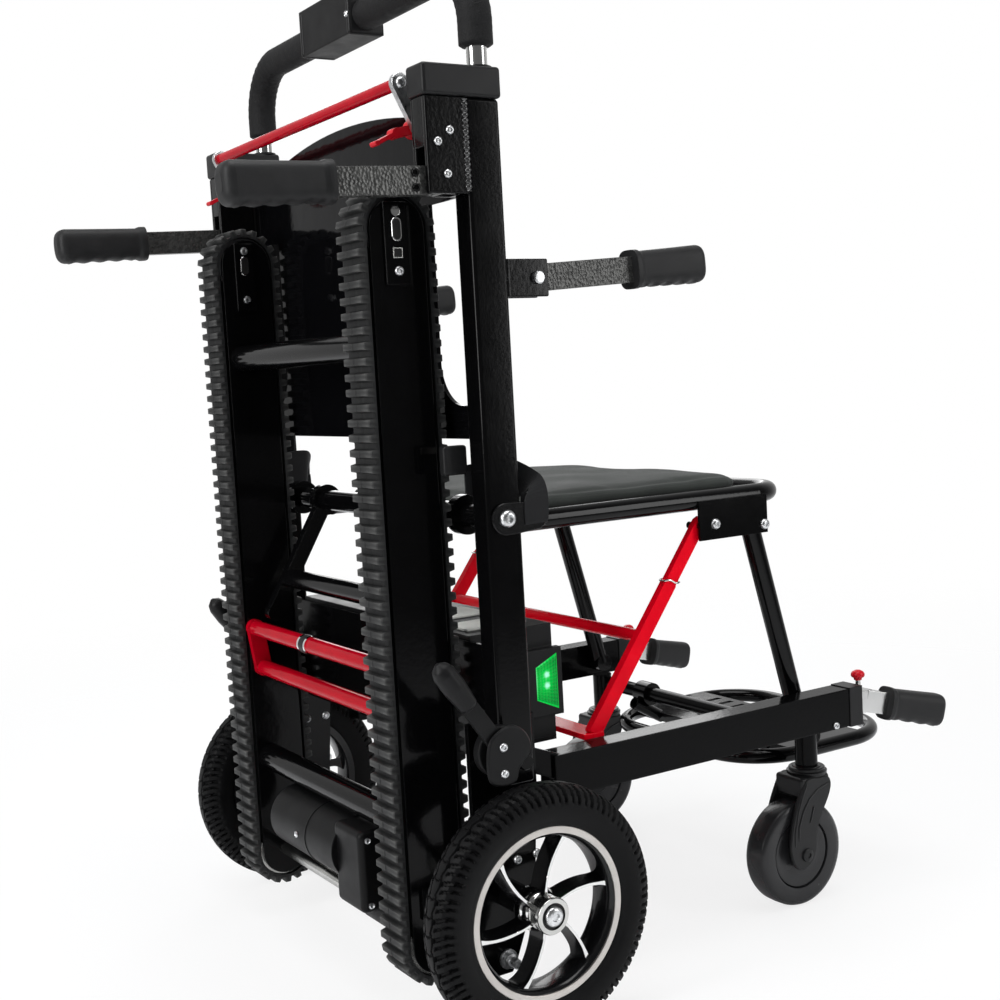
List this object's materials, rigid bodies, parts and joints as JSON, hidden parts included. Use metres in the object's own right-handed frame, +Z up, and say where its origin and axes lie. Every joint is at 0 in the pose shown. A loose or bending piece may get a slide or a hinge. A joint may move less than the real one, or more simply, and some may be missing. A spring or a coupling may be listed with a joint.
{
  "type": "stair_climbing_wheelchair",
  "caption": "Powered stair climbing wheelchair: folding black tube frame, swing-out toothed crawler behind, red struts, carry handles, swivel casters and a height-adjustable push handle",
  "frame": {"origin": "on the floor at the middle of the bounding box's underside", "axes": "+X is the way the sitter faces, +Y is the sitter's left, +Z is up"},
  "size_m": [0.9126, 0.645, 1.05],
  "materials": {
    "gloss_black": "gloss black paint",
    "satin_plastic": "satin black plastic",
    "hammer_black": "hammered black paint",
    "grip_rubber": "matte dark grey rubber",
    "belt_rubber": "matte black rubber",
    "tyre_rubber": "matte black tread rubber",
    "rim_alloy": "black alloy with a machined lip",
    "bright_steel": "bright steel",
    "zinc": "zinc plated steel",
    "chrome_tube": "bright tube",
    "red_paint": "gloss red paint",
    "red_plastic": "gloss red plastic",
    "seat_fabric": "matt dark fabric over padding",
    "webbing": "woven black webbing",
    "foam": "soft black foam",
    "case_plastic": "dark grey moulded plastic",
    "lens_green": "clear green lens",
    "caster_rubber": "glossy dark grey polyurethane"
  },
  "bodies": {
    "chassis": {"uprights": "gloss_black", "caps": "satin_plastic", "back_panel": "gloss_black", "back_pad": "seat_fabric", "seat_axle": "gloss_black", "battery_tray": "gloss_black", "battery_box": "case_plastic", "lamp_lenses": "lens_green", "frame_screws": "zinc", "belt_anchors": "satin_plastic", "lap_belt": "webbing", "brake_covers": "case_plastic"},
    "push_handle": {"handle_tube": "chrome_tube", "handle_foam": "foam", "control_box": "satin_plastic"},
    "rocker_switch": {"rocker": "case_plastic"},
    "wheel_right": {"tyre_r": "tyre_rubber", "rim_r": "rim_alloy"},
    "wheel_left": {"tyre_l": "tyre_rubber", "rim_l": "rim_alloy"},
    "crawler": {"beams": "gloss_black", "belts": "belt_rubber", "crawler_tubes": "gloss_black", "motor": "case_plastic", "gearbox": "case_plastic"},
    "drive": {"drive_shaft": "bright_steel"},
    "idler_pair": {"idlers": "satin_plastic"},
    "foot_pedal": {"pedal": "red_paint"},
    "link": {"link_frame": "gloss_black"},
    "release": {"release_bar": "red_paint"},
    "latch_pair": {"latches": "red_paint"},
    "rear_handle_right": {"rear_arm_r": "hammer_black", "rear_grip_r": "grip_rubber"},
    "rear_handle_left": {"rear_arm_l": "hammer_black", "rear_grip_l": "grip_rubber"},
    "side_handle_right": {"side_arm_r": "hammer_black", "side_grip_r": "grip_rubber"},
    "side_handle_left": {"side_arm_l": "hammer_black", "side_grip_l": "grip_rubber"},
    "seat": {"seat_frame": "gloss_black", "seat_pad": "seat_fabric"},
    "leg_pair": {"legs": "gloss_black"},
    "strut": {"strut_frame": "red_paint"},
    "rail_frame": {"rails": "gloss_black", "rail_caps": "satin_plastic"},
    "front_bar_right": {"slide_r": "zinc", "front_grip_r": "grip_rubber"},
    "front_bar_left": {"slide_l": "zinc", "front_grip_l": "grip_rubber"},
    "plunger_right": {"knob_r": "red_plastic"},
    "plunger_left": {"knob_l": "red_plastic"},
    "fork_right": {"fork_r": "case_plastic"},
    "fork_left": {"fork_l": "case_plastic"},
    "caster_right": {"caster_r": "caster_rubber"},
    "caster_left": {"caster_l": "caster_rubber"},
    "brake_right": {"brake_r": "grip_rubber"},
    "brake_left": {"brake_l": "grip_rubber"},
    "foot_support": {"footrest": "gloss_black"}
  },
  "joints": [
    {"name": "handle_height", "type": "slide", "parent": "chassis", "child": "push_handle", "axis": [0, 0, 1], "range_m": [0, 0.25]},
    {"name": "rocker_press", "type": "hinge", "parent": "push_handle", "child": "rocker_switch", "pos_m": [-0.19171, 0.024, 1.045], "axis": [1, 0, 0], "range_deg": [-8, 8], "stiffness_Nm_per_rad": 0.5},
    {"name": "wheel_spin_right", "type": "hinge", "parent": "chassis", "child": "wheel_right", "pos_m": [-0.19872, -0.2925, 0.123], "axis": [0, 1, 0], "continuous": true},
    {"name": "wheel_spin_left", "type": "hinge", "parent": "chassis", "child": "wheel_left", "pos_m": [-0.19872, 0.2925, 0.123], "axis": [0, 1, 0], "continuous": true},
    {"name": "crawler_swing", "type": "hinge", "parent": "chassis", "child": "crawler", "pos_m": [-0.19872, 0, 0.123], "axis": [0, -1, 0], "range_deg": [0, 35]},
    {"name": "drive_spin", "type": "hinge", "parent": "crawler", "child": "drive", "pos_m": [-0.26371, 0, 0.08], "axis": [0, 1, 0], "continuous": true},
    {"name": "idler_spin", "type": "hinge", "parent": "crawler", "child": "idler_pair", "pos_m": [-0.26371, 0, 0.776], "axis": [0, 1, 0], "continuous": true},
    {"name": "pedal_tilt", "type": "hinge", "parent": "crawler", "child": "foot_pedal", "pos_m": [-0.28571, 0, 0.353], "axis": [0, -1, 0], "range_deg": [0, 25]},
    {"name": "link_swing", "type": "hinge", "parent": "chassis", "child": "link", "pos_m": [-0.19872, 0, 0.498], "axis": [0, 1, 0], "range_deg": [0, 9.7]},
    {"name": "release_pull", "type": "hinge", "parent": "chassis", "child": "release", "pos_m": [-0.24072, 0, 0.868], "axis": [0, -1, 0], "range_deg": [0, 25]},
    {"name": "latch_press", "type": "hinge", "parent": "chassis", "child": "latch_pair", "pos_m": [-0.24072, 0, 0.868], "axis": [0, -1, 0], "range_deg": [0, 20]},
    {"name": "rear_handle_fold_right", "type": "hinge", "parent": "chassis", "child": "rear_handle_right", "pos_m": [-0.24471, -0.2545, 0.814], "axis": [0, -1, 0], "range_deg": [0, 85]},
    {"name": "side_handle_fold_right", "type": "hinge", "parent": "chassis", "child": "side_handle_right", "pos_m": [-0.14572, -0.2545, 0.724], "axis": [0, -1, 0], "range_deg": [0, 85]},
    {"name": "rear_handle_fold_left", "type": "hinge", "parent": "chassis", "child": "rear_handle_left", "pos_m": [-0.24471, 0.2545, 0.814], "axis": [0, -1, 0], "range_deg": [0, 85]},
    {"name": "side_handle_fold_left", "type": "hinge", "parent": "chassis", "child": "side_handle_left", "pos_m": [-0.14572, 0.2545, 0.724], "axis": [0, -1, 0], "range_deg": [0, 85]},
    {"name": "seat_fold", "type": "hinge", "parent": "chassis", "child": "seat", "pos_m": [-0.19872, 0, 0.498], "axis": [0, -1, 0], "range_deg": [0, 70]},
    {"name": "leg_fold", "type": "hinge", "parent": "seat", "child": "leg_pair", "pos_m": [0.17428, 0, 0.451], "axis": [0, -1, 0], "range_deg": [-66.5, 0]},
    {"name": "strut_fold", "type": "hinge", "parent": "seat", "child": "strut", "pos_m": [0.09528, 0, 0.456], "axis": [0, -1, 0], "range_deg": [-49, 0]},
    {"name": "rail_fold", "type": "hinge", "parent": "chassis", "child": "rail_frame", "pos_m": [-0.19271, 0, 0.262], "axis": [0, -1, 0], "range_deg": [0, 56]},
    {"name": "front_bar_slide_right", "type": "slide", "parent": "rail_frame", "child": "front_bar_right", "axis": [1, 0, 0], "range_m": [0, 0.15]},
    {"name": "plunger_pull_right", "type": "slide", "parent": "front_bar_right", "child": "plunger_right", "axis": [0, 0, 1], "range_m": [0, 0.006], "stiffness_N_per_m": 400},
    {"name": "caster_swivel_right", "type": "hinge", "parent": "rail_frame", "child": "fork_right", "pos_m": [0.24229, -0.2, 0.16], "axis": [0, 0, 1], "continuous": true},
    {"name": "caster_spin_right", "type": "hinge", "parent": "fork_right", "child": "caster_right", "pos_m": [0.21629, -0.2, 0.062], "axis": [0, 1, 0], "continuous": true},
    {"name": "brake_pull_right", "type": "hinge", "parent": "chassis", "child": "brake_right", "pos_m": [-0.22371, -0.282, 0.279], "axis": [0, -1, 0], "range_deg": [0, 35]},
    {"name": "front_bar_slide_left", "type": "slide", "parent": "rail_frame", "child": "front_bar_left", "axis": [1, 0, 0], "range_m": [0, 0.15]},
    {"name": "plunger_pull_left", "type": "slide", "parent": "front_bar_left", "child": "plunger_left", "axis": [0, 0, 1], "range_m": [0, 0.006], "stiffness_N_per_m": 400},
    {"name": "caster_swivel_left", "type": "hinge", "parent": "rail_frame", "child": "fork_left", "pos_m": [0.24229, 0.2, 0.16], "axis": [0, 0, 1], "continuous": true},
    {"name": "caster_spin_left", "type": "hinge", "parent": "fork_left", "child": "caster_left", "pos_m": [0.21629, 0.2, 0.062], "axis": [0, 1, 0], "continuous": true},
    {"name": "brake_pull_left", "type": "hinge", "parent": "chassis", "child": "brake_left", "pos_m": [-0.22371, 0.282, 0.279], "axis": [0, -1, 0], "range_deg": [0, 35]},
    {"name": "footrest_fold", "type": "hinge", "parent": "rail_frame", "child": "foot_support", "pos_m": [0.24729, 0, 0.194], "axis": [0, -1, 0], "range_deg": [0, 60]}
  ],
  "couplings": [
    {"joint": "idler_spin", "follows": "drive_spin", "ratio": 1},
    {"joint": "link_swing", "follows": "crawler_swing", "ratio": 0.277},
    {"joint": "leg_fold", "follows": "seat_fold", "ratio": -0.95},
    {"joint": "strut_fold", "follows": "seat_fold", "ratio": -0.7},
    {"joint": "rail_fold", "follows": "seat_fold", "ratio": 0.8}
  ]
}
